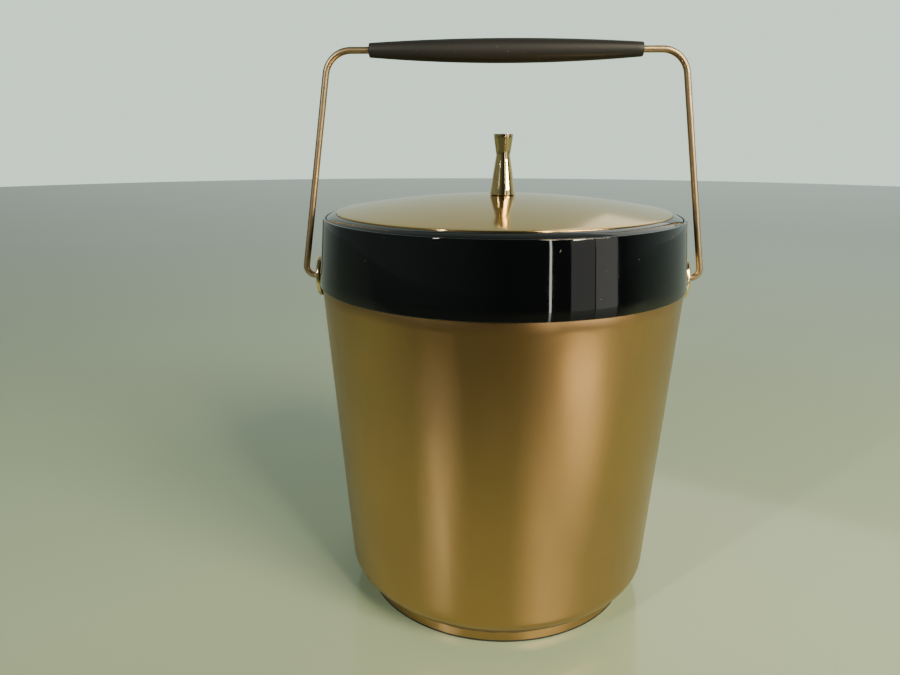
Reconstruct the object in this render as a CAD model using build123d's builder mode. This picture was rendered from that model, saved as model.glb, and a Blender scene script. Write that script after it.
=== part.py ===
"""Insulated ice bucket: spun shell, moulded collar, drop-in liner, loose lid with a knob, wire bail.

Millimetres.  +Z is up, X runs along the bail's pivot axis, and the origin is on the surface that
the bucket stands on, at the centre of its foot.
"""
from build123d import *
from math import radians, tan
import os

# ---- Driving dimensions ------------------------------------------------------------------------

# collar: the black moulded band round the mouth
BAND_R = 102.0            # outside radius at the lower edge
BAND_Z = 183.0            # height of the lower edge
BAND_H = 36.3             # height of the band
BAND_FLARE = 3.1          # how much narrower the band is at its top
BAND_WALL = 2.5
LIP_W = 1.5               # rim left standing round the lid
RECESS_D = 5.8            # depth of the lid's recess below that rim
LEDGE_W = 6.0             # ledge in the recess, which carries the liner
LEDGE_T = 3.0
LIP_ROUND = 0.9           # outside of the rim
LIP_ROUND_IN = 0.3        # inside of the rim

# outer shell: spun aluminium
SHELL_STEP = 1.4          # the band stands this far outside the shell
SHELL_DRAFT = 4.06        # degrees that the wall leans out
SHELL_WALL = 1.0
SHELL_CORNER = 11.0       # outside radius of the bottom corner
SHELL_TUCK = 0.5          # the wall runs this far into the band before it steps in
SHELL_NECK_H = 4.0        # height over which the wall steps in
SHELL_RISE = 22.0         # how far the shell reaches up inside the band
FLOOR_Z = 9.4             # underside of the shell's floor
FLOOR_HOLE_R = 11.0

# foot: pressed pan with a rubber ring inside its edge
FOOT_PROUD = 0.5          # the pan is this much wider than the shell's flat floor
FOOT_WALL = 1.0
FOOT_ROUND = 1.5
GASKET_T = 0.6
RING_T = 1.2              # rubber below the edge of the pan
RING_W = 3.6
RING_H = 4.2

# liner: moulded bowl that holds the ice
LINER_WALL = 2.0
LINER_DRAFT = 3.0         # degrees
LINER_FLOOR_GAP = 13.6    # insulation between the two floors
LINER_CORNER = 9.0
BOSS_R = 8.0
JACKET_DROP = 13.0        # the foam jacket stops this far below the band

# lid
RING_EDGE_T = 3.4         # thickness of the lid ring at its rim
RING_RISE = 2.4           # how much the ring climbs towards the disc
RING_VISIBLE = 5.5        # width of the ring outside the disc
RING_SEAT_W = 9.2         # width of the ring's underside
RING_ROUND = 0.7
RING_WEB_T = 1.8
RING_WEB_IN = 11.0        # how far the web reaches in under the disc
DISC_T = 0.8
DISC_EDGE_H = 0.5         # the disc's turned edge stands this far above the ring
DISC_RISE = 8.2           # crown of the disc
PLUG_DEPTH = 14.0         # how far the lid's plug hangs into the liner
PLUG_WALL = 1.8
PLUG_GAP = 2.2            # between the plug and the liner
PLUG_DRAFT = 3.0          # degrees
PLUG_CORNER = 3.6         # outside radius round the plug's floor
PLUG_NECK = 0.5           # radius where the plug's wall meets its flange

# knob
KNOB_BASE_R = 7.1
KNOB_WAIST_R = 3.8
KNOB_WAIST_H = 21.2
KNOB_TOP_R = 5.45
KNOB_H = 32.5
KNOB_DISH = 0.8           # depth of the hollow in its top
KNOB_FOOT_ROUND = 0.4
KNOB_EDGE_ROUND = 0.3
KNOB_GASKET_T = 0.25
KNOB_GASKET_IN = 1.0      # the gasket hides this far inside the knob's foot
KNOB_THREAD = 8.0         # depth of the screw in the knob

# bail
PIVOT_RISE = 1.2          # pivot axis above the band's lower edge
WIRE_R = 1.8
LEG_OUT = 10.5            # leg outside the band at the height of the pivot
LEG_LEAN = 18.5           # how much each leg leans in by the top
BAIL_H = 121.2            # pivot axis to grip axis
BEND_LOW = 5.0
BEND_TOP = 14.0
GRIP_HALF = 72.0
GRIP_MID_R = 6.25
GRIP_END_R = 3.7
GRIP_SAG = 0.45           # the grip's belly hangs this far below the wire's axis
GRIP_CHAMFER = 0.5

# pivots
CAP_R = 11.8
CAP_T = 0.7
CAP_CROWN = 3.7           # crown above the band
CAP_EDGE = 2.0            # height of the cap at its edge
CAP_FLAT_R = 3.6          # flat seat in the middle of the cap
CAP_SWEEP = 8.0           # radius where that seat turns down to the edge
CAP_ROUND = 1.2
HUB_FLARE = 2.0           # the bush's hub widens this much below the cap's seat
SPIGOT_R = 5.0
SPIGOT_IN = 7.4           # how far the bush reaches in from the band's face
EYELET_WALL = 0.55
EYELET_LIP = 1.0
EYELET_HEAD = 0.5
EYELET_ROUND = 0.35
EYELET_CLENCH = 0.4
WASHER_R = 4.2
WASHER_T = 0.6
NUT_R = 4.6
NUT_T = 0.5
WIRE_TAIL = 0.8           # wire standing past the push nut

# fasteners
BASE_SCREW_R = 2.5
BASE_SCREW_GRIP = 10.0    # length of the screw in the liner's boss
KNOB_SCREW_R = 2.0
HEAD_RATIO = 1.8          # head radius over shank radius
HEAD_H = 2.4
HEAD_ROUND = 0.8
SLOT_W = 1.0
SLOT_D = 1.2
SCREW_WASHER_T = 0.8
SCREW_WASHER_RIM = 1.0    # the washer stands this far outside the head

# clearances
RUN = 0.08                # radial, turning fit
SEAT = 0.15               # between nested walls of the fixed assembly
REST = 0.1                # under the resting lid
LID_GAP = 0.4             # round the lid
LOOSE = 0.4               # round the foam

# ---- Derived sizes -----------------------------------------------------------------------------

band_top_z = BAND_Z + BAND_H
band_slope = BAND_FLARE / BAND_H
shell_slope = tan(radians(SHELL_DRAFT))
liner_slope = tan(radians(LINER_DRAFT))
plug_slope = tan(radians(PLUG_DRAFT))


def band_r(z):
    """Outside radius of the band at height z."""
    return BAND_R - (z - BAND_Z) * band_slope


def shell_r(z):
    """Outside radius of the shell's wall at height z, below the band."""
    return BAND_R - SHELL_STEP - (BAND_Z - z) * shell_slope


recess_r = band_r(band_top_z) - LIP_W
ledge_z = band_top_z - RECESS_D
ledge_r = recess_r - LEDGE_W

neck_z = BAND_Z + SHELL_TUCK
neck_top_z = neck_z + SHELL_NECK_H
neck_gap = BAND_WALL + SEAT
shell_top_z = BAND_Z + SHELL_RISE

# the flat part of the shell's floor ends where its corner's arc begins
corner_run = SHELL_CORNER / tan(radians((90 + SHELL_DRAFT) / 2))
flat_r = shell_r(FLOOR_Z) - corner_run
foot_r = flat_r + FOOT_PROUD
foot_top = FLOOR_Z - GASKET_T

liner_r = ledge_r - LOOSE                   # outside radius just under the rim
liner_base = FLOOR_Z + SHELL_WALL + LINER_FLOOR_GAP
rim_top = ledge_z + LINER_WALL


def liner_outer(z):
    """Outside radius of the liner's wall at height z."""
    return liner_r - (ledge_z - z) * liner_slope


lid_z = rim_top + REST                      # underside of the lid ring
lid_r = recess_r - LID_GAP
edge_z = lid_z + RING_EDGE_T                # top of the ring at its rim
ring_top = edge_z + RING_RISE               # top of the ring beside the disc
disc_r = lid_r - RING_VISIBLE
disc_edge = ring_top + DISC_EDGE_H
web_top = edge_z - SEAT
web_z = web_top - RING_WEB_T
web_r = disc_r - RING_WEB_IN
seat_r = lid_r - RING_SEAT_W
plug_r = liner_r - LINER_WALL - PLUG_GAP
plug_z = lid_z - PLUG_DEPTH                 # underside of the plug
disc_top = disc_edge + DISC_RISE            # crown of the disc
knob_z = disc_top + KNOB_GASKET_T

pivot_z = BAND_Z + PIVOT_RISE
grip_z = pivot_z + BAIL_H
leg_x = BAND_R + LEG_OUT
bore_r = WIRE_R + RUN
eyelet_r = bore_r + EYELET_WALL
spigot_x = BAND_R - SPIGOT_IN
clench_x = spigot_x - EYELET_CLENCH
washer_x = clench_x - REST - WASHER_T
nut_x = washer_x - REST - NUT_T
wire_x = nut_x - WIRE_TAIL

pivot_axis = Axis((0, 0, pivot_z), (1, 0, 0))
grip_axis = Axis((0, 0, grip_z), (1, 0, 0))

os.makedirs("parts", exist_ok=True)


def save(builder, label):
    """Label a finished piece and write it as its own file."""
    builder.part.label = label
    export_step(builder.part, f"parts/{label}.step")


# ---- Shell -------------------------------------------------------------------------------------

with BuildPart() as outer_shell:
    with BuildSketch(Plane.XZ):
        with BuildLine():
            FilletPolyline(
                (FLOOR_HOLE_R, FLOOR_Z),
                (shell_r(FLOOR_Z), FLOOR_Z),
                (shell_r(neck_z), neck_z),
                (band_r(neck_top_z) - neck_gap, neck_top_z),
                (band_r(shell_top_z) - neck_gap, shell_top_z),
                radius=(SHELL_CORNER, 0, 0),
            )
            offset(amount=SHELL_WALL, side=Side.LEFT)
        make_face()
    revolve(axis=Axis.Z)
    with BuildSketch(Plane.YZ):
        with Locations((0, pivot_z)):
            Circle(SPIGOT_R + SEAT)
    extrude(amount=BAND_R, both=True, mode=Mode.SUBTRACT)
save(outer_shell, "outer_shell")

# ---- Collar ------------------------------------------------------------------------------------

with BuildPart() as collar:
    with BuildSketch(Plane.XZ):
        with BuildLine():
            Polyline(
                (BAND_R, BAND_Z),
                (band_r(band_top_z), band_top_z),
                (recess_r, band_top_z),
                (recess_r, ledge_z),
                (ledge_r, ledge_z),
                (ledge_r, ledge_z - LEDGE_T),
                (band_r(shell_top_z) - BAND_WALL, shell_top_z + REST),
                (band_r(neck_top_z) - BAND_WALL, neck_top_z),
                (shell_r(neck_z) + SEAT, neck_z),
                (shell_r(BAND_Z) + SEAT, BAND_Z),
                close=True,
            )
        make_face()
    revolve(axis=Axis.Z)
    outer_rim = collar.faces().sort_by(Axis.Z)[-1].edges().sort_by(SortBy.RADIUS)[-1]
    fillet(outer_rim, radius=LIP_ROUND)
    inner_rim = collar.faces().sort_by(Axis.Z)[-1].edges().sort_by(SortBy.RADIUS)[0]
    fillet(inner_rim, radius=LIP_ROUND_IN)
    with BuildSketch(Plane.YZ):
        with Locations((0, pivot_z)):
            Circle(SPIGOT_R + SEAT)
    extrude(amount=BAND_R + CAP_CROWN, both=True, mode=Mode.SUBTRACT)
save(collar, "collar")

# ---- Liner, with a boss under its floor for the base screw ---------------------------------------

with BuildPart() as inner_liner:
    with BuildSketch(Plane.XZ):
        with BuildLine():
            FilletPolyline(
                (0, liner_base),
                (liner_outer(liner_base), liner_base),
                (liner_outer(ledge_z), ledge_z),
                (recess_r - LOOSE, ledge_z),
                radius=(LINER_CORNER, LOOSE / 2),
            )
            offset(amount=LINER_WALL, side=Side.LEFT)
        make_face()
    revolve(axis=Axis.Z)
    with BuildSketch(Plane.XY.offset(FLOOR_Z + SHELL_WALL)):
        Circle(BOSS_R)
        Circle(BASE_SCREW_R, mode=Mode.SUBTRACT)
    extrude(until=Until.NEXT)
save(inner_liner, "inner_liner")

# ---- Insulation --------------------------------------------------------------------------------

with BuildPart() as insulation_jacket:
    jacket_top = BAND_Z - JACKET_DROP
    foam_gap = SHELL_WALL + LOOSE
    with BuildSketch(Plane.XZ):
        with BuildLine():
            Polyline(
                (liner_outer(liner_base) + LOOSE, liner_base),
                (shell_r(liner_base) - foam_gap, liner_base),
                (shell_r(jacket_top) - foam_gap, jacket_top),
                (liner_outer(jacket_top) + LOOSE, jacket_top),
                close=True,
            )
        make_face()
    revolve(axis=Axis.Z)
save(insulation_jacket, "insulation_jacket")

with BuildPart() as insulation_disc:
    disc_z = FLOOR_Z + SHELL_WALL + SEAT
    with BuildSketch(Plane.XY.offset(disc_z)):
        Circle(flat_r - LOOSE)
        Circle(BOSS_R + LOOSE, mode=Mode.SUBTRACT)
    extrude(amount=liner_base - SEAT - disc_z)
save(insulation_disc, "insulation_disc")

# ---- Foot --------------------------------------------------------------------------------------

with BuildPart() as base_gasket:
    with BuildSketch(Plane.XY.offset(foot_top)):
        Circle(flat_r - LOOSE)
        Circle(FLOOR_HOLE_R, mode=Mode.SUBTRACT)
    extrude(amount=GASKET_T)
save(base_gasket, "base_gasket")

with BuildPart() as foot_pan:
    with BuildSketch(Plane.XZ):
        with BuildLine():
            FilletPolyline(
                (BASE_SCREW_R + SEAT, foot_top),
                (foot_r, foot_top),
                (foot_r, RING_T),
                radius=(FOOT_ROUND,),
            )
            offset(amount=FOOT_WALL, side=Side.RIGHT)
        make_face()
    revolve(axis=Axis.Z)
save(foot_pan, "foot_pan")

with BuildPart() as foot_ring:
    ring_in = foot_r - FOOT_WALL
    with BuildSketch(Plane.XZ):
        with BuildLine():
            Polyline(
                (foot_r - RING_W, 0),
                (foot_r, 0),
                (foot_r, RING_T),
                (ring_in, RING_T),
                (ring_in, RING_H),
                (foot_r - RING_W, RING_H),
                close=True,
            )
        make_face()
    revolve(axis=Axis.Z)
save(foot_ring, "foot_ring")

with BuildPart() as base_washer:
    washer_z = foot_top - FOOT_WALL - SCREW_WASHER_T
    base_head_r = BASE_SCREW_R * HEAD_RATIO
    with BuildSketch(Plane.XY.offset(washer_z)):
        Circle(base_head_r + SCREW_WASHER_RIM)
        Circle(BASE_SCREW_R + SEAT, mode=Mode.SUBTRACT)
    extrude(amount=SCREW_WASHER_T)
save(base_washer, "base_washer")

with BuildPart() as base_screw:
    with BuildSketch(Plane.XY.offset(washer_z - HEAD_H)):
        Circle(base_head_r)
    extrude(amount=HEAD_H)
    fillet(base_screw.faces().sort_by(Axis.Z)[0].edges(), radius=HEAD_ROUND)
    with BuildSketch(Plane.XY.offset(washer_z)):
        Circle(BASE_SCREW_R)
    extrude(amount=FLOOR_Z + SHELL_WALL + BASE_SCREW_GRIP - washer_z)
    with BuildSketch(Plane.XY.offset(washer_z - HEAD_H)):
        Rectangle(2 * base_head_r + SLOT_W, SLOT_W)
    extrude(amount=SLOT_D, mode=Mode.SUBTRACT)
save(base_screw, "base_screw")

# ---- Lid ---------------------------------------------------------------------------------------

with BuildPart() as lid_ring:
    with BuildSketch(Plane.XZ) as ring_section:
        with BuildLine():
            Polyline(
                (seat_r, lid_z),
                (lid_r, lid_z),
                (lid_r, edge_z),
                (disc_r + SEAT, ring_top),
                (disc_r + SEAT, web_top),
                (web_r, web_top),
                (web_r, web_z),
                (seat_r, web_z),
                close=True,
            )
        make_face()
        fillet(ring_section.vertices().group_by(Axis.X)[-1].sort_by(Axis.Y)[-1], radius=RING_ROUND)
    revolve(axis=Axis.Z)
save(lid_ring, "lid_ring")

with BuildPart() as lid_disc:
    crown_r = (disc_r ** 2 + DISC_RISE ** 2) / (2 * DISC_RISE)
    skirt_r = disc_r - DISC_T
    skirt_z = web_top + SEAT
    with BuildSketch(Plane.XZ) as disc_section:
        with BuildLine():
            Line((disc_r, skirt_z), (disc_r, disc_edge))
            RadiusArc((disc_r, disc_edge), (0, disc_top), -crown_r)
            Line((0, disc_top), (0, disc_top - DISC_T))
            RadiusArc((0, disc_top - DISC_T), (skirt_r, disc_edge - DISC_T), crown_r)
            Line((skirt_r, disc_edge - DISC_T), (skirt_r, skirt_z))
            Line((skirt_r, skirt_z), (disc_r, skirt_z))
        make_face()
        fillet(disc_section.vertices().group_by(Axis.X)[-1].sort_by(Axis.Y)[-1], radius=DISC_T / 2)
    revolve(axis=Axis.Z)
    with BuildSketch(Plane.XY.offset(disc_edge)):
        Circle(KNOB_SCREW_R + SEAT)
    extrude(amount=2 * DISC_RISE, mode=Mode.SUBTRACT)
save(lid_disc, "lid_disc")

with BuildPart() as lid_liner:
    with BuildSketch(Plane.XZ):
        with BuildLine():
            FilletPolyline(
                (KNOB_SCREW_R + SEAT, plug_z),
                (plug_r - PLUG_DEPTH * plug_slope, plug_z),
                (plug_r - RING_WEB_T * plug_slope, web_z - PLUG_WALL),
                (seat_r - SEAT, web_z - PLUG_WALL),
                radius=(PLUG_CORNER, PLUG_NECK),
            )
            offset(amount=PLUG_WALL, side=Side.LEFT)
        make_face()
    revolve(axis=Axis.Z)
save(lid_liner, "lid_liner")

with BuildPart() as lid_insulation:
    foam_z = plug_z + PLUG_WALL + SEAT
    foam_top = web_z - LOOSE
    foam_r = plug_r - PLUG_DEPTH * plug_slope - PLUG_CORNER - PLUG_WALL - LOOSE
    with BuildSketch(Plane.XY.offset(foam_z)):
        Circle(foam_r)
        Circle(KNOB_SCREW_R + LOOSE, mode=Mode.SUBTRACT)
    extrude(amount=foam_top - foam_z)
save(lid_insulation, "lid_insulation")

# ---- Knob --------------------------------------------------------------------------------------

with BuildPart() as knob_gasket:
    with BuildSketch(Plane.XY.offset(disc_top)):
        Circle(KNOB_BASE_R - KNOB_GASKET_IN)
        Circle(KNOB_SCREW_R + SEAT, mode=Mode.SUBTRACT)
    extrude(amount=KNOB_GASKET_T)
save(knob_gasket, "knob_gasket")

with BuildPart() as knob:
    knob_top = knob_z + KNOB_H
    with BuildSketch(Plane.XZ) as knob_section:
        with BuildLine():
            Polyline(
                (0, knob_top - KNOB_DISH),
                (0, knob_z),
                (KNOB_BASE_R, knob_z),
                (KNOB_WAIST_R, knob_z + KNOB_WAIST_H),
                (KNOB_TOP_R, knob_top),
            )
            dish_r = (KNOB_TOP_R ** 2 + KNOB_DISH ** 2) / (2 * KNOB_DISH)
            RadiusArc((KNOB_TOP_R, knob_top), (0, knob_top - KNOB_DISH), dish_r)
        make_face()
        foot_corner = knob_section.vertices().group_by(Axis.Y)[0].sort_by(Axis.X)[-1]
        fillet(foot_corner, radius=KNOB_FOOT_ROUND)
        fillet(knob_section.vertices().sort_by(Axis.Y)[-1], radius=KNOB_EDGE_ROUND)
    revolve(axis=Axis.Z)
    with BuildSketch(Plane.XY.offset(knob_z)):
        Circle(KNOB_SCREW_R)
    extrude(amount=KNOB_THREAD, mode=Mode.SUBTRACT)
save(knob, "knob")

with BuildPart() as knob_washer:
    knob_washer_z = plug_z - SCREW_WASHER_T
    knob_head_r = KNOB_SCREW_R * HEAD_RATIO
    with BuildSketch(Plane.XY.offset(knob_washer_z)):
        Circle(knob_head_r + SCREW_WASHER_RIM)
        Circle(KNOB_SCREW_R + SEAT, mode=Mode.SUBTRACT)
    extrude(amount=SCREW_WASHER_T)
save(knob_washer, "knob_washer")

with BuildPart() as knob_screw:
    with BuildSketch(Plane.XY.offset(knob_washer_z - HEAD_H)):
        Circle(knob_head_r)
    extrude(amount=HEAD_H)
    fillet(knob_screw.faces().sort_by(Axis.Z)[0].edges(), radius=HEAD_ROUND)
    with BuildSketch(Plane.XY.offset(knob_washer_z)):
        Circle(KNOB_SCREW_R)
    extrude(amount=knob_z + KNOB_THREAD - SEAT - knob_washer_z)
    with BuildSketch(Plane.XY.offset(knob_washer_z - HEAD_H)):
        Rectangle(2 * knob_head_r + SLOT_W, SLOT_W)
    extrude(amount=SLOT_D, mode=Mode.SUBTRACT)
save(knob_screw, "knob_screw")

# ---- Bail --------------------------------------------------------------------------------------

with BuildPart() as bail_wire:
    with BuildLine(Plane.XZ) as wire_path:
        FilletPolyline(
            (-wire_x, pivot_z),
            (-leg_x, pivot_z),
            (LEG_LEAN - leg_x, grip_z),
            (leg_x - LEG_LEAN, grip_z),
            (leg_x, pivot_z),
            (wire_x, pivot_z),
            radius=(BEND_LOW, BEND_TOP, BEND_TOP, BEND_LOW),
        )
    with BuildSketch(Plane(origin=wire_path.line @ 0, z_dir=wire_path.line % 0)):
        Circle(WIRE_R)
    sweep()
save(bail_wire, "bail_wire")

with BuildPart() as bail_grip:
    # a cigar shape: round sections that grow and sink towards the middle
    for station in (-1, -0.5, 0, 0.5, 1):
        fullness = 1 - station ** 2
        with BuildSketch(Plane.YZ.offset(station * GRIP_HALF)):
            with Locations((0, grip_z - GRIP_SAG * fullness)):
                Circle(GRIP_END_R + (GRIP_MID_R - GRIP_END_R) * fullness)
    loft()
    grip_ends = bail_grip.faces().filter_by(GeomType.PLANE).sort_by(Axis.X)
    chamfer(grip_ends[0].edges() + grip_ends[-1].edges(), length=GRIP_CHAMFER)
    with BuildSketch(Plane.YZ):
        with Locations((0, grip_z)):
            Circle(bore_r)
    extrude(amount=GRIP_HALF, both=True, mode=Mode.SUBTRACT)
save(bail_grip, "bail_grip")

# ---- Pivots: everything on the two ends of the bail -----------------------------------------------

for side, sign in (("left", -1), ("right", 1)):
    # sections are drawn as (distance from the pivot axis, distance outwards along it)
    half = Plane(origin=(0, 0, pivot_z), x_dir=(0, 0, 1), z_dir=(0, sign, 0))
    across = Plane(origin=(0, 0, pivot_z), x_dir=(0, 1, 0), z_dir=(sign, 0, 0))
    crown_x = BAND_R + CAP_CROWN
    hub_x = crown_x - CAP_T
    flange_x = BAND_R + CAP_EDGE - CAP_T - CAP_ROUND / 2

    with BuildPart() as pivot_bush:
        with BuildSketch(across.offset(BAND_R - BAND_WALL)):
            Circle(CAP_R - CAP_T - SEAT)
        extrude(amount=flange_x - BAND_R + BAND_WALL)
        # the back of the flange is hollowed to sit on the band and over the shell
        with BuildSketch(Plane.XZ):
            with BuildLine():
                Polyline(
                    (0, 0),
                    (shell_r(BAND_Z - CAP_R - SEAT) + SEAT, BAND_Z - CAP_R - SEAT),
                    (shell_r(BAND_Z - SEAT) + SEAT, BAND_Z - SEAT),
                    (BAND_R + SEAT, BAND_Z - SEAT),
                    (band_r(band_top_z) + SEAT, band_top_z),
                    (0, band_top_z),
                    close=True,
                )
            make_face()
        revolve(axis=Axis.Z, mode=Mode.SUBTRACT)
        with BuildSketch(half):
            with BuildLine():
                Polyline(
                    (eyelet_r, spigot_x),
                    (SPIGOT_R, spigot_x),
                    (SPIGOT_R, flange_x - REST),
                    (CAP_FLAT_R + HUB_FLARE, flange_x - REST),
                    (CAP_FLAT_R, hub_x - SEAT),
                    (eyelet_r, hub_x - SEAT),
                    close=True,
                )
            make_face()
        revolve(axis=pivot_axis)
        with BuildSketch(across):
            Circle(eyelet_r)
        extrude(amount=crown_x, mode=Mode.SUBTRACT)
    save(pivot_bush, f"pivot_bush_{side}")

    with BuildPart() as pivot_cap:
        with BuildSketch(half):
            with BuildLine():
                FilletPolyline(
                    (eyelet_r, crown_x),
                    (CAP_FLAT_R, crown_x),
                    (CAP_R, BAND_R + CAP_EDGE),
                    (CAP_R, BAND_R + SEAT),
                    radius=(CAP_SWEEP, CAP_ROUND),
                )
                offset(amount=CAP_T, side=Side.RIGHT)
            make_face()
        revolve(axis=pivot_axis)
    save(pivot_cap, f"pivot_cap_{side}")

    with BuildPart() as pivot_eyelet:
        with BuildSketch(half):
            with BuildLine():
                Polyline(
                    (bore_r, clench_x),
                    (eyelet_r + EYELET_LIP, clench_x),
                    (eyelet_r + EYELET_LIP, spigot_x),
                    (eyelet_r, spigot_x),
                    (eyelet_r, crown_x),
                    (eyelet_r + EYELET_LIP, crown_x),
                    (eyelet_r + EYELET_LIP, crown_x + EYELET_HEAD),
                    (bore_r, crown_x + EYELET_HEAD),
                    close=True,
                )
            make_face()
        revolve(axis=pivot_axis)
        head_face = pivot_eyelet.faces().filter_by(Axis.X).sort_by(Axis.X)[-1 if sign > 0 else 0]
        fillet(head_face.edges().sort_by(SortBy.RADIUS)[-1], radius=EYELET_ROUND)
    save(pivot_eyelet, f"pivot_eyelet_{side}")

    with BuildPart() as friction_washer:
        with BuildSketch(across.offset(washer_x)):
            Circle(WASHER_R)
            Circle(bore_r, mode=Mode.SUBTRACT)
        extrude(amount=WASHER_T)
    save(friction_washer, f"friction_washer_{side}")

    with BuildPart() as push_nut:
        with BuildSketch(across.offset(nut_x)):
            Circle(NUT_R)
            Circle(WIRE_R, mode=Mode.SUBTRACT)
        extrude(amount=NUT_T)
    save(push_nut, f"push_nut_{side}")
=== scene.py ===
# %% [markdown]
# # A gold and black ice bucket
# The real object is a spun aluminium shell with a moulded black band round its mouth, a loose domed
# lid with a turned brass knob, and a wire bail with a black sleeve grip. The CAD frame already holds
# every piece at its right size. This lesson makes finer versions of the pieces that show, gives each
# its finish, and lights them.

# %% Load the frame
import bpy
import math
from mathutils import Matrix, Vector


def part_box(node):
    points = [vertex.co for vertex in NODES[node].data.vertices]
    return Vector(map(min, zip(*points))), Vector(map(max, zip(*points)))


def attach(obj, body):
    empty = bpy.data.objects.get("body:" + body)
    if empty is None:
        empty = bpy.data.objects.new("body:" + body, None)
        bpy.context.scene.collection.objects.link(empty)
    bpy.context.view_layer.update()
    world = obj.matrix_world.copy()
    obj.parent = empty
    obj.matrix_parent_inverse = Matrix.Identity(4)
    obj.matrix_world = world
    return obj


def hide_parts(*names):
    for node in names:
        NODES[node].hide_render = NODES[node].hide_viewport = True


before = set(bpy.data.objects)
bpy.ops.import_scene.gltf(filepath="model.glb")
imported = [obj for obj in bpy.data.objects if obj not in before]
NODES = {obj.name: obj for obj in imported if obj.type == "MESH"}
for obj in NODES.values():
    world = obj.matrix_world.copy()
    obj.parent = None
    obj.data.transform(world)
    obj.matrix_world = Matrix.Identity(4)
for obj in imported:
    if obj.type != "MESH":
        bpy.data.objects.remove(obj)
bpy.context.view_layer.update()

MM = 0.001

# %% [markdown]
# ## Turning round pieces
# A shell, a lid or a knob is a profile turned about an axis. By hand that is a circle which is
# extruded, moved and scaled, ring after ring. A Spin of a drawn profile would also do, but pulling
# rings keeps every edge loop level and evenly spaced. The helpers below do just those keystrokes.

# %% Pulling rings
SIDES = 192           # round the big pieces
SMALL_SIDES = 96      # round the knob, the grip and the caps
JOINED = 1e-6         # ring ends closer than this are the same ring


def clear_selection():
    if bpy.context.object and bpy.context.object.mode != "OBJECT":
        bpy.ops.object.mode_set(mode="OBJECT")
    bpy.ops.object.select_all(action="DESELECT")


def bend(centre_r, centre_z, radius, start, end, steps):
    """Points (radius, height) along an arc of the profile, with its angles in degrees."""
    angles = [math.radians(start + (end - start) * i / steps) for i in range(steps + 1)]
    return [(centre_r + radius * math.cos(a), centre_z + radius * math.sin(a)) for a in angles]


def straight(start, end, steps):
    """Points (radius, height) along a straight run of the profile, with both its ends."""
    return [tuple(a + (b - a) * i / steps for a, b in zip(start, end)) for i in range(steps + 1)]


def turned(name, profile, sides=SIDES, closed=False, pole=False):
    """Pulls a circle along a profile of (radius, height) or (radius, height, shift along X)."""
    clear_selection()
    stops = [tuple(stop) + (0,) * (3 - len(stop)) for stop in profile]
    radius, height, shift = stops[0]
    bpy.ops.mesh.primitive_circle_add(vertices=sides, radius=radius, location=(shift, 0, height))
    piece = bpy.context.object
    piece.name = piece.data.name = name
    bpy.ops.object.transform_apply(location=True, rotation=True, scale=True)
    bpy.ops.object.mode_set(mode="EDIT")
    bpy.ops.mesh.select_all(action="SELECT")
    for next_radius, next_height, next_shift in stops[1:]:
        bpy.ops.mesh.extrude_edges_move()
        scale = next_radius / radius
        bpy.ops.transform.resize(value=(scale, scale, 1), center_override=(shift, 0, height))
        bpy.ops.transform.translate(value=(next_shift - shift, 0, next_height - height))
        radius, height, shift = next_radius, next_height, next_shift
    if pole:
        bpy.ops.mesh.merge(type="CENTER")
    if closed:
        bpy.ops.mesh.select_all(action="SELECT")
        bpy.ops.mesh.remove_doubles(threshold=JOINED)
    bpy.ops.mesh.select_all(action="SELECT")
    bpy.ops.mesh.normals_make_consistent(inside=False)
    bpy.ops.object.mode_set(mode="OBJECT")
    return piece


def apply_modifier(piece, kind, **settings):
    bpy.context.view_layer.objects.active = piece
    modifier = piece.modifiers.new(kind.title(), kind)
    for key, value in settings.items():
        setattr(modifier, key, value)
    bpy.ops.object.modifier_apply(modifier=modifier.name)


def soften(piece, width, angle=30, segments=3):
    """Rounds every edge that is sharper than the angle."""
    apply_modifier(piece, "BEVEL", width=width, segments=segments, limit_method="ANGLE",
                   angle_limit=math.radians(angle))


def finish_piece(piece, body, node, smooth=40):
    """Smooth shading, and the piece's place in the frame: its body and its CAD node."""
    clear_selection()
    piece.select_set(True)
    bpy.context.view_layer.objects.active = piece
    bpy.ops.object.shade_smooth_by_angle(angle=math.radians(smooth))
    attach(piece, body)
    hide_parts(node)
    print(piece.name, "faces:", len(piece.data.polygons))
    return piece


# %% [markdown]
# ## The shell
# The real shell is spun from one sheet, so its wall is even, its bottom corner is a soft round and its
# top steps in where the black band covers it. One profile for the outside, with Solidify for the wall
# thickness, gives the same even sheet. The wall is pulled in short steps, because a long thin face
# would show its corners in a soft reflection.

# %% Spin the shell
BAND_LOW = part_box("collar")[0].z
BAND_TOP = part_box("collar")[1].z
BAND_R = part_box("collar")[1].y
BAND_FLARE = 3.1 * MM
BAND_WALL = 2.5 * MM
SHELL_STEP = 1.4 * MM
SHELL_LEAN = math.tan(math.radians(4.06))
SHEET = 1.0 * MM
CORNER = 11.0 * MM
CORNER_STEPS = 14
NECK_TUCK = 0.5 * MM
NECK_RISE = 4.0 * MM
SEAM = 0.15 * MM
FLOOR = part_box("outer_shell")[0].z
SHELL_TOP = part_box("outer_shell")[1].z
FLOOR_HOLE = 11.0 * MM


def band_radius(z):
    return BAND_R - (z - BAND_LOW) * BAND_FLARE / (BAND_TOP - BAND_LOW)


def shell_radius(z):
    return BAND_R - SHELL_STEP - (BAND_LOW - z) * SHELL_LEAN


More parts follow.
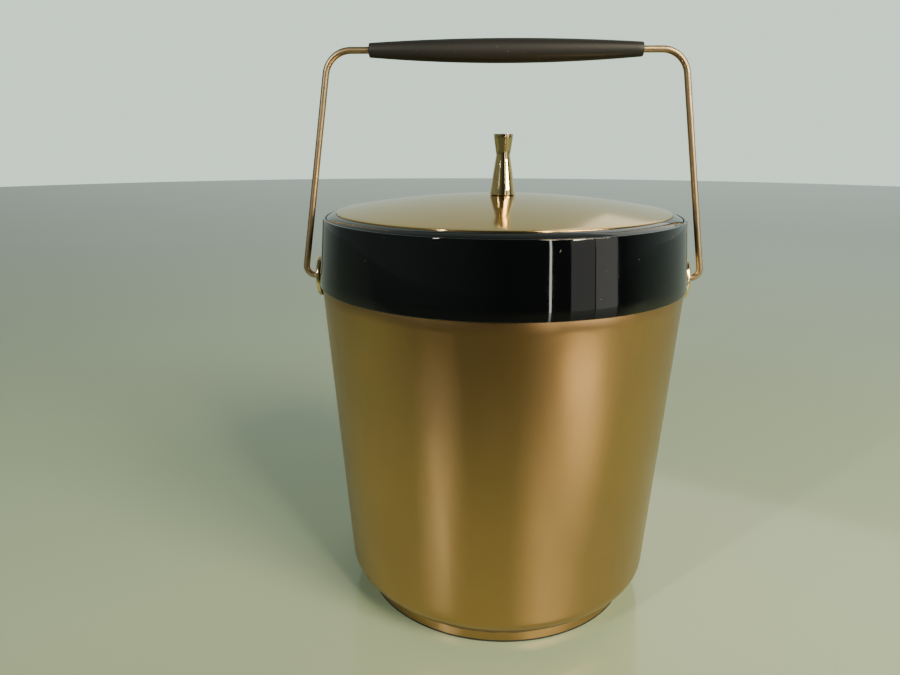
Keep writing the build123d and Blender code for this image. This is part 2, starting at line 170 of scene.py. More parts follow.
# the corner's arc runs from straight down to square with the leaning wall
lean = math.degrees(math.atan(SHELL_LEAN))
corner_r = shell_radius(FLOOR) - CORNER / math.tan(math.radians((90 + lean) / 2))
corner = bend(corner_r, FLOOR + CORNER, CORNER, -90, -lean, CORNER_STEPS)
neck = BAND_LOW + NECK_TUCK
wall_steps = 24
wall = [(shell_radius(z), z) for z in
        (corner[-1][1] + (neck - corner[-1][1]) * i / wall_steps for i in range(1, wall_steps + 1))]
neck_in = [(band_radius(z) - BAND_WALL - SEAM, z) for z in (neck + NECK_RISE, SHELL_TOP)]
shell = turned("shell", [(FLOOR_HOLE, FLOOR)] + corner + wall + neck_in)
apply_modifier(shell, "SOLIDIFY", thickness=SHEET, offset=-1, use_even_offset=True)
print("shell: floor at", round(FLOOR, 4), "top at", round(SHELL_TOP, 4), "lean in degrees", round(lean, 2))

# %% [markdown]
# ## Holes for the two pivot bushes
# The bail's bushes pass through the band and the shell. A cylinder laid along X and taken away with a
# Boolean is what a drill does. The same drill serves both pieces.

# %% Drill
PIVOT_RISE = 1.2 * MM
PIVOT_Z = BAND_LOW + PIVOT_RISE
BUSH_R = 5.15 * MM


def drill(piece):
    clear_selection()
    bpy.ops.mesh.primitive_cylinder_add(vertices=48, radius=BUSH_R, depth=3 * BAND_R,
                                        location=(0, 0, PIVOT_Z), rotation=(0, math.pi / 2, 0))
    bit = bpy.context.object
    piece.select_set(True)
    apply_modifier(piece, "BOOLEAN", object=bit, operation="DIFFERENCE", solver="EXACT")
    bpy.data.objects.remove(bit)


drill(shell)
finish_piece(shell, "bucket", "outer_shell")

# %% [markdown]
# ## The black band
# The band is one moulding: a skirt that flares downwards, a narrow lip round the lid, and inside it a
# ledge that carries the liner. Its section is a closed profile, and Bevel rounds the lip and the lower
# edge as the mould does. The rounded lip is what catches the thin line of light along the top.

# %% Mould the band
LIP = 1.5 * MM
RECESS = 5.8 * MM
LEDGE = 6.0 * MM
LEDGE_T = 3.0 * MM
STEP_GAP = 0.1 * MM
BAND_SOFT = 0.45 * MM
recess_r = band_radius(BAND_TOP) - LIP
ledge_r = recess_r - LEDGE
ledge_z = BAND_TOP - RECESS
face_steps = 6
band_face = [(band_radius(z), z) for z in
             (BAND_LOW + (BAND_TOP - BAND_LOW) * i / face_steps for i in range(face_steps + 1))]
band_inside = [
    (recess_r, BAND_TOP),
    (recess_r, ledge_z),
    (ledge_r, ledge_z),
    (ledge_r, ledge_z - LEDGE_T),
    (band_radius(SHELL_TOP) - BAND_WALL, SHELL_TOP + STEP_GAP),
    (band_radius(neck + NECK_RISE) - BAND_WALL, neck + NECK_RISE),
    (shell_radius(neck) + SEAM, neck),
    (shell_radius(BAND_LOW) + SEAM, BAND_LOW),
]
band = turned("band", band_face + band_inside + band_face[:1], closed=True)
soften(band, BAND_SOFT, segments=4)
drill(band)
finish_piece(band, "bucket", "collar")

# %% [markdown]
# ## The foot
# Under the shell sits a shallow pressed pan, and its bright rounded edge is the gold ring at the table.
# It could be a cylinder with a bevelled rim, but a pulled profile with Solidify keeps the sheet even.

# %% Press the pan
FOOT_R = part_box("foot_pan")[1].y
FOOT_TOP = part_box("foot_pan")[1].z
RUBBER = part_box("foot_pan")[0].z
PAN_ROUND = 1.5 * MM
PAN_STEPS = 8
SCREW_HOLE = 2.65 * MM
pan_corner = bend(FOOT_R - PAN_ROUND, FOOT_TOP - PAN_ROUND, PAN_ROUND, 90, 0, PAN_STEPS)
pan = turned("pan", [(SCREW_HOLE, FOOT_TOP)] + pan_corner + [(FOOT_R, RUBBER)])
apply_modifier(pan, "SOLIDIFY", thickness=SHEET, offset=-1, use_even_offset=True)
finish_piece(pan, "bucket", "foot_pan")

# %% [markdown]
# ## The rubber under the foot
# Inside the pan's edge a rubber ring keeps it off the surface, which shows as a thin black line. Its
# section is a step that hooks under the sheet, so it is one closed profile with softened edges.

# %% Mould the rubber
HEEL_W = 3.6 * MM
HEEL_SOFT = 0.2 * MM
HEEL_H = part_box("foot_ring")[1].z
heel = turned("heel", [
    (FOOT_R - HEEL_W, 0), (FOOT_R, 0), (FOOT_R, RUBBER), (FOOT_R - SHEET, RUBBER),
    (FOOT_R - SHEET, HEEL_H), (FOOT_R - HEEL_W, HEEL_H), (FOOT_R - HEEL_W, 0),
], closed=True)
soften(heel, HEEL_SOFT)
finish_piece(heel, "bucket", "foot_ring")

# %% [markdown]
# ## The lid
# The lid is a black ring with a gold disc set in it. The ring's rim sits inside the band's lip with a
# fine gap, which reads as a dark line. Its top climbs a little towards the disc in a faint curve, and a
# thin web under the disc carries it, so the section is a closed profile again.

# %% Mould the lid's ring
RING_EDGE_T = 3.4 * MM
RING_SEAT = 9.2 * MM
RING_SWELL = 0.25 * MM
RING_SOFT = 0.4 * MM
WEB_IN = 11.0 * MM
WEB_T = 1.8 * MM
LID_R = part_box("lid_ring")[1].y
LID_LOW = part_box("lid_ring")[0].z
RING_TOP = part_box("lid_ring")[1].z
RING_EDGE = LID_LOW + RING_EDGE_T
DISC_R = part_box("lid_disc")[1].y
DISC_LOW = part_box("lid_disc")[0].z
WEB_TOP = RING_EDGE - SEAM
WEB_LOW = WEB_TOP - WEB_T
lid_rim = turned("lid_rim", [
    (LID_R - RING_SEAT, LID_LOW), (LID_R, LID_LOW), (LID_R, RING_EDGE),
    ((LID_R + DISC_R) / 2, (RING_EDGE + RING_TOP) / 2 + RING_SWELL),
    (DISC_R + SEAM, RING_TOP), (DISC_R + SEAM, WEB_TOP),
    (DISC_R - WEB_IN, WEB_TOP), (DISC_R - WEB_IN, WEB_LOW),
    (LID_R - RING_SEAT, WEB_LOW), (LID_R - RING_SEAT, LID_LOW),
], closed=True)
soften(lid_rim, RING_SOFT, angle=25, segments=4)
finish_piece(lid_rim, "lid", "lid_ring")

# %% [markdown]
# ### The disc
# The disc is a shallow dome, part of a large sphere, with its edge turned down into the ring. A cut
# sphere would give the same curve, but rings pulled from the knob's hole outwards leave an even grid.

# %% Press the disc
DISC_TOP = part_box("lid_disc")[1].z
DISC_RISE = 8.2 * MM
DISC_SHEET = 0.8 * MM
DISC_SOFT = 0.35 * MM
KNOB_HOLE = 2.15 * MM
sphere = (DISC_R ** 2 + DISC_RISE ** 2) / (2 * DISC_RISE)
dome_steps = 28
dome = [(r, DISC_TOP - sphere + math.sqrt(sphere ** 2 - r ** 2)) for r in
        (KNOB_HOLE + (DISC_R - KNOB_HOLE) * i / dome_steps for i in range(dome_steps + 1))]
disc = turned("disc", dome + [(DISC_R, DISC_LOW)])
soften(disc, DISC_SOFT, segments=4)
apply_modifier(disc, "SOLIDIFY", thickness=DISC_SHEET, offset=-1, use_even_offset=True)
finish_piece(disc, "lid", "lid_disc")

# %% [markdown]
# ## The knob
# A brass bar turned to a long cone, a sharp waist and a short flare, with a dish cut in its top. The
# waist is left crisp, as a parting tool leaves it, and the other corners are just broken.

# %% Turn the knob
KNOB_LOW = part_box("knob")[0].z
KNOB_BASE = 7.1 * MM
WAIST_R = 3.8 * MM
WAIST_Z = KNOB_LOW + 21.2 * MM
KNOB_TOP_R = 5.45 * MM
KNOB_TOP = KNOB_LOW + 32.4 * MM
DISH = 0.8 * MM
KNOB_SOFT = 0.22 * MM
CONE_STEPS = 6
FLARE_STEPS = 4
cone = straight((KNOB_BASE, KNOB_LOW), (WAIST_R, WAIST_Z), CONE_STEPS)
flare = straight((WAIST_R, WAIST_Z), (KNOB_TOP_R, KNOB_TOP), FLARE_STEPS)[1:]
dish = [(KNOB_TOP_R * k, KNOB_TOP - DISH * (1 - k ** 2)) for k in (0.8, 0.6, 0.4, 0.2, 0.06)]
finial = turned("finial", [(KNOB_HOLE, KNOB_LOW)] + cone + flare + dish, sides=SMALL_SIDES, pole=True)
soften(finial, KNOB_SOFT, angle=38)
finish_piece(finial, "lid", "knob")

# %% [markdown]
# ## The bail
# The bail is one length of round wire, bent cold in four places. By hand it is a circle extruded for
# each straight run and spun about the bend's centre for each bend. Only the right half is made, and
# Mirror gives the left, since a bending jig makes both ends alike.

# %% Bend the wire
WIRE_R = 1.8 * MM
WIRE_SIDES = 32
END_INSET = 0.3 * MM
BAIL_H = 121.2 * MM
LEG_OUT = 10.5 * MM
LEG_LEAN = 18.5 * MM
BEND_LOW = 5.0 * MM
BEND_TOP = 14.0 * MM
BEND_STEPS = 14
END_PAST_NUT = 0.8 * MM
GRIP_Z = PIVOT_Z + BAIL_H
LEG_X = BAND_R + LEG_OUT
LEG_TOP_X = LEG_X - LEG_LEAN
WIRE_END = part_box("push_nut_right")[0].x - END_PAST_NUT

leg = Vector((LEG_TOP_X - LEG_X, 0, GRIP_Z - PIVOT_Z)).normalized()
low_turn = math.acos(leg.dot(Vector((1, 0, 0))))
top_turn = math.pi - low_turn


def spin_bend(centre, angle, steps):
    bpy.ops.mesh.spin(steps=steps, angle=angle, center=centre, axis=(0, 1, 0))


def run_to(move):
    bpy.ops.mesh.extrude_edges_move(TRANSFORM_OT_translate={"value": tuple(move)})


clear_selection()
bpy.ops.mesh.primitive_circle_add(vertices=WIRE_SIDES, radius=WIRE_R, location=(WIRE_END, 0, PIVOT_Z),
                                  rotation=(0, math.pi / 2, 0))
rod = bpy.context.object
rod.name = rod.data.name = "bail_rod"
bpy.ops.object.transform_apply(location=True, rotation=True, scale=True)
bpy.ops.object.mode_set(mode="EDIT")
bpy.ops.mesh.select_all(action="SELECT")
bpy.ops.mesh.edge_face_add()
bpy.ops.mesh.inset(thickness=END_INSET)
bpy.ops.mesh.select_all(action="DESELECT")
bpy.ops.object.mode_set(mode="OBJECT")
for edge in rod.data.edges:
    ends = [rod.data.vertices[v].co - Vector((WIRE_END, 0, PIVOT_Z)) for v in edge.vertices]
    edge.select = all(end.length > 0.95 * WIRE_R for end in ends)
bpy.ops.object.mode_set(mode="EDIT")
low_setback = BEND_LOW * math.tan(low_turn / 2)
top_setback = BEND_TOP * math.tan(top_turn / 2)
leg_length = (GRIP_Z - PIVOT_Z) / leg.z
run_to((LEG_X - low_setback - WIRE_END, 0, 0))
spin_bend((LEG_X - low_setback, 0, PIVOT_Z + BEND_LOW), low_turn, BEND_STEPS)
run_to(leg * (leg_length - low_setback - top_setback))
spin_bend((LEG_TOP_X - top_setback, 0, GRIP_Z - BEND_TOP), top_turn, BEND_STEPS)
run_to((top_setback - LEG_TOP_X, 0, 0))
bpy.ops.object.mode_set(mode="OBJECT")
box_x = [v.co.x for v in rod.data.vertices]
print("half wire spans x", round(min(box_x), 4), round(max(box_x), 4))
apply_modifier(rod, "MIRROR", use_axis=(True, False, False), use_clip=True, merge_threshold=0.01 * MM)
finish_piece(rod, "bail", "bail_wire")

# %% [markdown]
# ## The grip
# A cigar-shaped sleeve, thickest in the middle and bored through for the wire. Its belly hangs a little
# below the wire, so its top looks flatter than its underside. It is pulled ring by ring like the other
# turned pieces, each ring slipped down by its share of the belly, then laid along X.

# %% Turn the grip
GRIP_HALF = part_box("bail_grip")[1].x
GRIP_MID_R = 6.25 * MM
GRIP_END_R = 3.7 * MM
GRIP_SAG = 0.45 * MM
GRIP_BREAK = 0.5 * MM
BORE_R = 1.88 * MM


def lay_along_x(piece, z):
    """Turns a piece made along Z so that its +Z points along +X, on an axis at height z."""
    clear_selection()
    piece.select_set(True)
    bpy.context.view_layer.objects.active = piece
    piece.rotation_euler = (0, math.pi / 2, 0)
    piece.location = (0, 0, z)
    bpy.ops.object.transform_apply(location=True, rotation=True, scale=True)


def grip_ring(x):
    fullness = 1 - (x / GRIP_HALF) ** 2
    return GRIP_END_R + (GRIP_MID_R - GRIP_END_R) * fullness, x, GRIP_SAG * fullness


grip_steps = 36
grip_outside = [grip_ring(GRIP_HALF * (2 * i / grip_steps - 1)) for i in range(grip_steps + 1)]
grip_profile = [(BORE_R, -GRIP_HALF)] + grip_outside + [(BORE_R, GRIP_HALF), (BORE_R, -GRIP_HALF)]
grip = turned("grip", grip_profile, sides=SMALL_SIDES, closed=True)
lay_along_x(grip, GRIP_Z)
soften(grip, GRIP_BREAK, angle=50, segments=3)
finish_piece(grip, "grip", "bail_grip")

# %% [markdown]
# ## The pivot caps and eyelets
# Each end of the wire enters the bucket through a drawn brass cap with a rolled eyelet in its middle.
# The cap is made once along Z, laid along X at the right, and a copy turned half a turn about Z stands
# at the left with its own mesh.

# %% Draw a cap
CAP_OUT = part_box("pivot_cap_right")[1].x
CAP_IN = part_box("pivot_cap_right")[0].x
CAP_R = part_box("pivot_cap_right")[1].y
CAP_SHEET = 0.7 * MM
CAP_FLAT = 3.6 * MM
CAP_SWEEP = 8.0 * MM
CAP_ROUND = 1.2 * MM
CAP_FALL = 1.7 * MM
CROWN_STEPS = 4
RIM_STEPS = 6
EYELET_R = BORE_R + 0.55 * MM


def left_copy(piece, name):
    clear_selection()
    piece.select_set(True)
    bpy.context.view_layer.objects.active = piece
    bpy.ops.object.duplicate()
    twin = bpy.context.object
    twin.name = twin.data.name = name
    twin.rotation_euler = (0, 0, math.pi)
    bpy.ops.object.transform_apply(location=True, rotation=True, scale=True)
    return twin


cap_fall = CAP_FALL / (CAP_R - CAP_FLAT)
fall_angle = math.degrees(math.atan(cap_fall))
sweep_in = CAP_SWEEP * math.tan(math.radians(fall_angle / 2))
cap_crown = bend(CAP_FLAT - sweep_in, CAP_OUT - CAP_SWEEP, CAP_SWEEP, 90, 90 - fall_angle, CROWN_STEPS)
rim_r = CAP_R - CAP_ROUND
rim_x = CAP_OUT - (rim_r - CAP_FLAT) * cap_fall - CAP_ROUND / math.cos(math.radians(fall_angle))
cap_rim = bend(rim_r, rim_x, CAP_ROUND, 90 - fall_angle, 0, RIM_STEPS)
cap = turned("cap_right", [(EYELET_R, CAP_OUT)] + cap_crown + cap_rim + [(CAP_R, CAP_IN)], sides=SMALL_SIDES)
apply_modifier(cap, "SOLIDIFY", thickness=CAP_SHEET, offset=-1, use_even_offset=True)
lay_along_x(cap, PIVOT_Z)
cap_twin = left_copy(cap, "cap_left")
finish_piece(cap, "bucket", "pivot_cap_right")
finish_piece(cap_twin, "bucket", "pivot_cap_left")

# %% [markdown]
# ### The eyelets
# An eyelet is a short tube whose outer end is rolled over the cap and whose inner end is clenched. Its
# section is closed, with a half circle for the roll, so it turns into a solid ring round the wire.

# %% Roll an eyelet
EYELET_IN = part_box("pivot_eyelet_right")[0].x
EYELET_LIP_R = EYELET_R + 1.0 * MM
EYELET_HEAD = 0.5 * MM
CLENCH = 0.4 * MM
MOUTH = 0.2 * MM
EYELET_SIDES = 64
ROLL_STEPS = 8
roll_r = EYELET_HEAD / 2
rolled = bend(EYELET_LIP_R - roll_r, CAP_OUT + roll_r, roll_r, -90, 90, ROLL_STEPS)
eyelet = turned("eyelet_right", [
    (BORE_R, EYELET_IN), (EYELET_LIP_R, EYELET_IN), (EYELET_LIP_R, EYELET_IN + CLENCH),
    (EYELET_R, EYELET_IN + CLENCH), (EYELET_R, CAP_OUT)] + rolled + [
    (BORE_R + MOUTH, CAP_OUT + EYELET_HEAD), (BORE_R, CAP_OUT + EYELET_HEAD - MOUTH),
    (BORE_R, EYELET_IN)], sides=EYELET_SIDES, closed=True)
lay_along_x(eyelet, PIVOT_Z)
eyelet_twin = left_copy(eyelet, "eyelet_left")
finish_piece(eyelet, "bucket", "pivot_eyelet_right")
finish_piece(eyelet_twin, "bucket", "pivot_eyelet_left")

# %% [markdown]
# ## Finishes
# Every finish is a Principled shader fed by noise on Object coordinates, so the pattern stays with the
# piece when it moves. The helper adds a node and sets its inputs, and the rest is plain wiring: what
# varies over the surface is linked, and what is the same all over is typed into the shader's socket.

# %% Node helpers


class Finish:
    """A material with its Principled shader and a few ways to feed it."""

    def __init__(self, name, **shader):
        self.material = bpy.data.materials.new(name)
        self.material.use_nodes = True
        self.tree = self.material.node_tree
        self.shader = self.tree.nodes["Principled BSDF"]
        for key, value in shader.items():
            self.shader.inputs[key.replace("_", " ")].default_value = value
        self.place = self.add("ShaderNodeTexCoord").outputs["Object"]

    def add(self, kind, inputs=(), **settings):
        node = self.tree.nodes.new(kind)
        for key, value in settings.items():
            setattr(node, key, value)
        for key, value in dict(inputs).items():
            if isinstance(value, bpy.types.NodeSocket):
                self.tree.links.new(value, node.inputs[key])
            else:
                node.inputs[key].default_value = value
        return node

    def feed(self, output, socket):
        self.tree.links.new(output, self.shader.inputs[socket])

    def noise(self, scale, detail=3.0, stretch=(1, 1, 1), turn=(0, 0, 0), rough=0.5):
        at = self.add("ShaderNodeMapping", {"Vector": self.place, "Scale": stretch, "Rotation": turn})
        return self.add("ShaderNodeTexNoise", {
            "Vector": at.outputs["Vector"], "Scale": scale, "Detail": detail, "Roughness": rough,
        }).outputs["Fac"]

    def span(self, value, low, high, to_low=0.0, to_high=1.0):
        return self.add("ShaderNodeMapRange", {
            "Value": value, "From Min": low, "From Max": high, "To Min": to_low, "To Max": to_high,
        }).outputs["Result"]

    def blend(self, factor, a, b):
        node = self.add("ShaderNodeMix", data_type="RGBA")
        for value, index in ((factor, 0), (a, 6), (b, 7)):
            if isinstance(value, bpy.types.NodeSocket):
                self.tree.links.new(value, node.inputs[index])
            else:
                node.inputs[index].default_value = value
        return node.outputs[2]

    def math(self, kind, a, b=0.0):
        return self.add("ShaderNodeMath", {0: a, 1: b}, operation=kind).outputs[0]

    def bump(self, height, strength, distance, normal=None):
        inputs = {"Height": height, "Strength": strength, "Distance": distance}
        if normal is not None:
            inputs["Normal"] = normal
        return self.add("ShaderNodeBump", inputs).outputs["Normal"]

    def radius(self):
        """Distance from the Z axis."""
        flat = self.add("ShaderNodeVectorMath", {0: self.place, 1: (1, 1, 0)}, operation="MULTIPLY")
        return self.add("ShaderNodeVectorMath", {0: flat.outputs[0]}, operation="LENGTH").outputs["Value"]


def shade(finish, *pieces):
    for piece in pieces:
        if not piece.data.materials:
            piece.data.materials.append(finish.material)
        for slot in piece.material_slots:
            slot.material = finish.material
    print(finish.material.name, "on", len(pieces), "pieces")


# %% [markdown]
# ### Satin gold
# Anodised aluminium is metal under a dyed skin, so it is fully metallic with a soft, even roughness.
# Spinning leaves very fine rings round the wall, which noise squeezed along Z gives. Years of wiping
# leave faint cloudy patches, and a few tiny marks catch the light. The crease where the shell sits on
# its foot pan carries painted shade: a dark, dull, non-metallic band stands in for the shadow there.

# %% Satin gold
GOLD = (0.44, 0.272, 0.115, 1)
GOLD_WORN = (0.40, 0.252, 0.115, 1)
# painted shade: the dark, dull tone painted into the crease above the foot pan
PAINTED_CREASE_SHADE = (0.02, 0.013, 0.005, 1)
CREASE_LOW = 6.2 * MM
CREASE_TOP = 15.5 * MM
CREASE_FADE = 3.0 * MM
gold = Finish("satin gold", Anisotropic=0.25)
clouds = gold.noise(14, 4)
tone = gold.blend(gold.span(clouds, 0.4, 0.7), GOLD, GOLD_WORN)
# painted shade: a ragged band above the foot pan gets the crease tone, with less metal and more roughness
height = gold.add("ShaderNodeSeparateXYZ", {"Vector": gold.place}).outputs["Z"]
ragged = gold.math("ADD", height, gold.span(gold.noise(90, 3), 0.3, 0.7, -0.3 * MM, 0.3 * MM))
below = gold.span(ragged, CREASE_TOP, CREASE_TOP - CREASE_FADE, 0.0, 0.75)
above = gold.span(ragged, CREASE_LOW - 0.5 * MM, CREASE_LOW)
crease_shade = gold.math("MULTIPLY", below, above)
gold.feed(gold.blend(crease_shade, tone, PAINTED_CREASE_SHADE), "Base Color")
gold.feed(gold.math("SUBTRACT", 1.0, crease_shade), "Metallic")
smears = gold.noise(45, 5, stretch=(1, 1, 0.35))
wear = gold.math("ADD", gold.span(clouds, 0.3, 0.7, 0.27, 0.32), gold.span(smears, 0.45, 0.8, 0.0, 0.08))
gold.feed(gold.math("ADD", wear, gold.math("MULTIPLY", crease_shade, 0.3)), "Roughness")
rings = gold.noise(1.0, 2, stretch=(6, 6, 2600))
dings = gold.span(gold.noise(260, 1), 0.76, 0.8, 0.0, 1.0)
surface = gold.bump(rings, 0.10, 0.02 * MM)
gold.feed(gold.bump(dings, 0.4, 0.05 * MM, surface), "Normal")
shade(gold, shell, pan)

# %% [markdown]
# ### Bright gold for the lid
# The disc has the same dye over a smoother surface, so it mirrors the knob. Its fine marks are circles
# round the middle, so the noise reads the distance from the axis, with a few long hairline scratches.

# %% Bright gold
LID_GOLD = (0.56, 0.35, 0.115, 1)
LID_GOLD_WORN = (0.51, 0.33, 0.12, 1)
lid_gold = Finish("bright gold", Metallic=1.0, Coat_Weight=0.5, Coat_Roughness=0.12, Coat_IOR=1.6)
lid_gold.shader.inputs["Specular Tint"].default_value = (0.90, 0.84, 0.62, 1)
veil = lid_gold.noise(20, 4)
lid_gold.feed(lid_gold.blend(lid_gold.span(veil, 0.35, 0.7), LID_GOLD, LID_GOLD_WORN), "Base Color")
lid_gold.feed(lid_gold.span(veil, 0.3, 0.75, 0.10, 0.17), "Roughness")
circle_at = lid_gold.add("ShaderNodeCombineXYZ", {"X": lid_gold.radius()})
circles = lid_gold.add("ShaderNodeTexNoise", {
    "Vector": circle_at.outputs[0], "Scale": 1800.0, "Detail": 2.0})
hair = lid_gold.noise(30, 2, stretch=(0.15, 9, 1), turn=(0, 0, 0.6))
scratches = lid_gold.span(hair, 0.68, 0.70)
fine = lid_gold.bump(circles.outputs["Fac"], 0.05, 0.02 * MM)
lid_gold.feed(lid_gold.bump(scratches, 0.06, 0.02 * MM, fine), "Normal")
shade(lid_gold, disc)

# %% [markdown]
# ### Gloss black
# The moulding is almost a mirror, but not a perfect one: the skin ripples slightly where it cooled,
# fingers leave soft smudges, and dust and fine scratches show as faint grey.

# %% Gloss black
gloss = Finish("gloss black", IOR=1.5)
specks = gloss.span(gloss.noise(420, 1), 0.80, 0.82)
gloss.feed(gloss.blend(specks, (0.0015, 0.002, 0.0024, 1), (0.10, 0.10, 0.09, 1)), "Base Color")
smudge = gloss.noise(32, 5)
gloss.feed(gloss.math("ADD", gloss.span(smudge, 0.5, 0.75, 0.035, 0.10), specks), "Roughness")
ripple = gloss.bump(gloss.noise(11, 1), 0.25, 0.25 * MM)
marks = gloss.span(gloss.noise(40, 1, stretch=(5, 5, 0.2), turn=(0.4, 0.2, 0)), 0.73, 0.75)
gloss.feed(gloss.bump(marks, 0.05, 0.02 * MM, ripple), "Normal")
shade(gloss, band, lid_rim, NODES["pivot_bush_left"], NODES["pivot_bush_right"])

# %% [markdown]
# ### Brass
# The knob, the caps and the eyelets are polished and lacquered, with a little tarnish in soft spots. The
# lathe leaves very fine rings, which noise squeezed along Z gives.

# %% Polished brass
brass = Finish("polished brass", Metallic=1.0)
tarnish = brass.noise(150, 4)
tone = brass.blend(brass.span(tarnish, 0.58, 0.85), (0.80, 0.61, 0.29, 1), (0.55, 0.39, 0.17, 1))
brass.feed(tone, "Base Color")
brass.feed(brass.span(tarnish, 0.4, 0.85, 0.06, 0.16), "Roughness")
turning = brass.noise(1.0, 1, stretch=(20, 20, 3500))
brass.feed(brass.bump(turning, 0.06, 0.02 * MM), "Normal")
shade(brass, finial, cap, cap_twin, eyelet, eyelet_twin)

# %% [markdown]
# ### Aged wire
# The wire is bare and has aged to a tan brown: the same metal, but duller and a little patchy, with
# darker oxide here and there and a fine grain all over.

# %% Aged wire
bronze = Finish("aged wire", Metallic=1.0)
oxide = bronze.noise(90, 4)
tone = bronze.blend(bronze.span(oxide, 0.45, 0.8), (0.40, 0.305, 0.185, 1), (0.31, 0.225, 0.13, 1))
bronze.feed(tone, "Base Color")
bronze.feed(bronze.span(oxide, 0.35, 0.75, 0.36, 0.46), "Roughness")
pitting = bronze.noise(1400, 3)
bronze.feed(bronze.bump(pitting, 0.08, 0.01 * MM), "Normal")
shade(bronze, rod)

# %% [markdown]
# ### Satin black
# The grip is turned and lacquered black. Under the lacquer a faint grain runs along it, and its sheen is
# soft, with a little dust in the grain.

# %% Satin black
satin = Finish("satin black", IOR=1.42)
grain = satin.noise(220, 4, stretch=(0.06, 1, 1))
dust = satin.span(satin.noise(900, 1), 0.74, 0.78)
satin.feed(satin.blend(dust, (0.013, 0.0135, 0.013, 1), (0.09, 0.09, 0.085, 1)), "Base Color")
satin.feed(satin.span(grain, 0.3, 0.7, 0.42, 0.58), "Roughness")
satin.feed(satin.bump(grain, 0.22, 0.08 * MM), "Normal")
shade(satin, grip)

# %% [markdown]
# ### Rubber
# Rubber, steel, the off-white mouldings and foam are mostly hidden, but the lid lifts and the bucket can
# be turned over, so each still gets its own grain. Rubber is almost black, with a grey bloom.

# %% Rubber
rubber = Finish("black rubber", IOR=1.5)
bloom = rubber.noise(300, 4)
rubber.feed(rubber.blend(bloom, (0.010, 0.010, 0.010, 1), (0.022, 0.022, 0.021, 1)), "Base Color")
rubber.feed(rubber.span(bloom, 0.3, 0.7, 0.62, 0.85), "Roughness")
rubber.feed(rubber.bump(rubber.noise(1500, 2), 0.3, 0.05 * MM), "Normal")
shade(rubber, heel, NODES["base_gasket"], NODES["knob_gasket"])

# %% [markdown]
# ### Plated steel
# Screws, washers and nuts are zinc plated: a pale metal whose crystals vary a little in shine.

# %% Steel
steel = Finish("plated steel", Metallic=1.0)
plate = steel.noise(500, 4)
steel.feed(steel.blend(plate, (0.52, 0.52, 0.50, 1), (0.66, 0.66, 0.64, 1)), "Base Color")
steel.feed(steel.span(plate, 0.3, 0.7, 0.22, 0.40), "Roughness")
steel.feed(steel.bump(plate, 0.1, 0.03 * MM), "Normal")
plated = [NODES[name] for name in NODES if "screw" in name or "washer" in name or "push_nut" in name]
shade(steel, *plated)

# %% [markdown]
# ### Off-white moulding
# The liner and the lid's plug are glossy moulded plastic that has yellowed in soft patches.

# %% Liner
ivory = Finish("off-white moulding", IOR=1.5)
stain = ivory.noise(16, 4)
yellowing = ivory.span(stain, 0.4, 0.75)
ivory.feed(ivory.blend(yellowing, (0.78, 0.75, 0.66, 1), (0.70, 0.66, 0.55, 1)), "Base Color")
ivory.feed(ivory.span(stain, 0.3, 0.7, 0.16, 0.28), "Roughness")
ivory.feed(ivory.bump(ivory.noise(60, 2), 0.1, 0.1 * MM), "Normal")
shade(ivory, NODES["inner_liner"], NODES["lid_liner"])

# %% [markdown]
# ### Foam
# Foam is a mass of small round cells, which Voronoi cells give in tone and in relief.

# %% Foam
foam = Finish("insulating foam", Roughness=0.9)
cells = foam.add("ShaderNodeTexVoronoi", {"Vector": foam.place, "Scale": 420.0}).outputs["Distance"]
foam.feed(foam.blend(cells, (0.80, 0.77, 0.66, 1), (0.62, 0.58, 0.46, 1)), "Base Color")
foam.feed(foam.bump(cells, 0.6, 0.4 * MM), "Normal")
shade(foam, *(NODES[name] for name in NODES if "insulation" in name))

# %% [markdown]
# ## Floor, light and camera
# Metal shows its surroundings, so the light matters as much as the finish. The bucket stands on a pale,
# slightly glossy top, with a painted shadow that darkens it in front of the bucket. The shell leans
# outwards, so it mostly mirrors that floor and its painted shadow, and the windows reach it by way of the
# floor's gloss. A round sheet is all it takes.

# %% Floor
FLOOR_TONE = (0.36, 0.46, 0.30, 1)
# painted shadow: the tone the floor is darkened to in front of the bucket
PAINTED_SHADOW_TONE = (0.07, 0.08, 0.06, 1)
FLOOR_R = 4.0
clear_selection()
bpy.ops.mesh.primitive_circle_add(vertices=96, radius=FLOOR_R, fill_type="NGON", location=(0, 0, 0))
floor = bpy.context.object
floor.name = "floor"
table_top = Finish("pale table", IOR=1.5)
table_top.feed(table_top.span(table_top.noise(3, 3), 0.3, 0.7, 0.08, 0.11), "Roughness")
# painted shadow: a smooth ramp along Y darkens the floor towards the front
along_y = table_top.add("ShaderNodeSeparateXYZ", {"Vector": table_top.place}).outputs["Y"]
depth = table_top.add("ShaderNodeMapRange", {
    "Value": along_y, "From Min": -0.45, "From Max": -0.05}, interpolation_type="SMOOTHSTEP")
table_top.feed(table_top.blend(depth.outputs["Result"], PAINTED_SHADOW_TONE, FLOOR_TONE), "Base Color")
shade(table_top, floor)

# %% [markdown]
# ### The room
# The background is plain and pale where the camera sees it. As light it is brightest behind the bucket
# and to its right, where the lid mirrors it, and dim elsewhere, a little less so to the left. The windows
# do the rest. Both parts are plain ramps over the direction.

# %% Room
BACKDROP = (0.95, 1.15, 0.98, 1)
DIM = (0.85, 1.0, 0.90, 1)
DIM_RIGHT, DIM_LEFT = 0.03, 0.20
BRIGHT_SIDE = (0.4, 1, 0)      # behind, and a little to the right
BRIGHT = 0.75
world = bpy.data.worlds.new("room")
bpy.context.scene.world = world
world.use_nodes = True
room = world.node_tree


def ramp(value, low, high, to_low, to_high):
    node = room.nodes.new("ShaderNodeMapRange")
    for key, number in (("From Min", low), ("From Max", high), ("To Min", to_low), ("To Max", to_high)):
        node.inputs[key].default_value = number
    room.links.new(value, node.inputs["Value"])
    return node.outputs["Result"]


